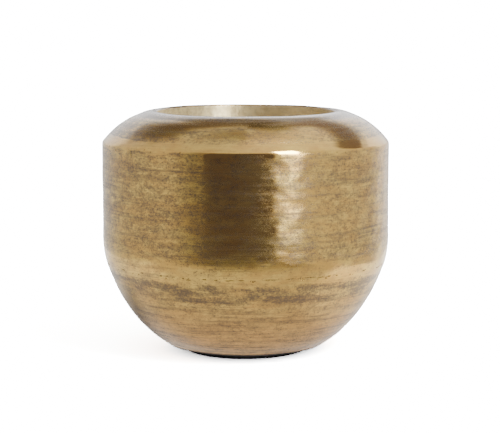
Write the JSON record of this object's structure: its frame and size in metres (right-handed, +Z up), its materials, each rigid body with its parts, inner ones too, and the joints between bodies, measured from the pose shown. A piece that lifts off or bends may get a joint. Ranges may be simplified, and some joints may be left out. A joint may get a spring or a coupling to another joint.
{
  "type": "planter pot",
  "caption": "Round-bottomed metal planter pot with an upright belly, a sloping shoulder and a turned-in flanged mouth, standing on a felt base pad.",
  "frame": {"origin": "on the pot's axis, at the underside of the felt base pad", "axes": "+Z up along the pot's axis of revolution, out of the mouth; +X and +Y in the standing plane"},
  "size_m": [0.3, 0.3, 0.2517],
  "materials": {
    "bowl": "antiqued satin, speckled patina",
    "barrel": "antiqued satin, speckled patina with horizontal brush lines",
    "shoulder": "antiqued satin, speckled patina",
    "rim_ring": "antiqued satin",
    "bowl_weld": "ground flush, slightly porous",
    "shoulder_weld": "hand dressed, satin",
    "rim_braze": "as laid",
    "base_pad": "black wool felt",
    "pad_adhesive": "clear adhesive film"
  },
  "bodies": {
    "root": {"bowl": "bowl", "barrel": "barrel", "shoulder": "shoulder", "rim_ring": "rim_ring", "bowl_weld": "bowl_weld", "shoulder_weld": "shoulder_weld", "rim_braze": "rim_braze", "base_pad": "base_pad", "pad_adhesive": "pad_adhesive"}
  },
  "joints": []
}
